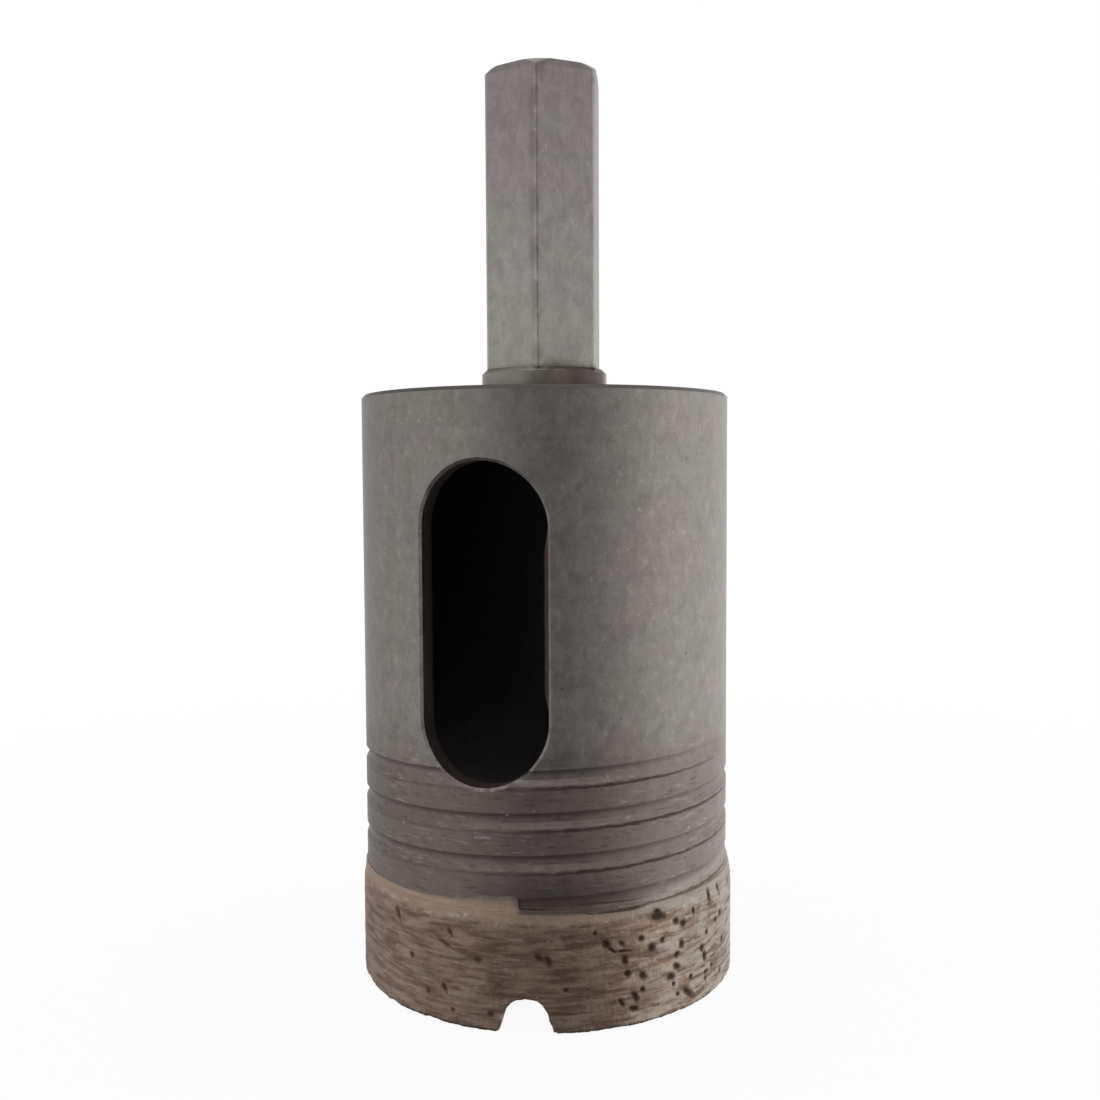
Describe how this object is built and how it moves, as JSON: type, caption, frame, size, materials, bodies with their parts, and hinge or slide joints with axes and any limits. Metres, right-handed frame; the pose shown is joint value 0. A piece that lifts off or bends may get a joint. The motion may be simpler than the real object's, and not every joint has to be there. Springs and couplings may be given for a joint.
{
  "type": "diamond core bit",
  "caption": "Core bit: a turned steel cup with a slug window and a spiral relief groove, a sintered diamond crown with water notches, and a hexagon shank for a drill chuck.",
  "frame": {"origin": "centre of the cutting rim, on the plane that the crown stands on", "axes": "+Z along the axis from the crown to the shank, -Y through the middle of the slug window, +X to the right when the window is seen from the front"},
  "size_m": [0.035, 0.035, 0.083],
  "materials": {
    "cup_steel": "fine turned, satin",
    "crown_matrix": "sintered bronze matrix with diamond grit, rough and pitted",
    "shank_steel": "milled, satin",
    "weld_steel": "as welded"
  },
  "bodies": {
    "root": {"cup_body": "cup_steel", "diamond_crown": "crown_matrix", "hex_shank": "shank_steel", "shank_weld": "weld_steel"}
  },
  "joints": []
}
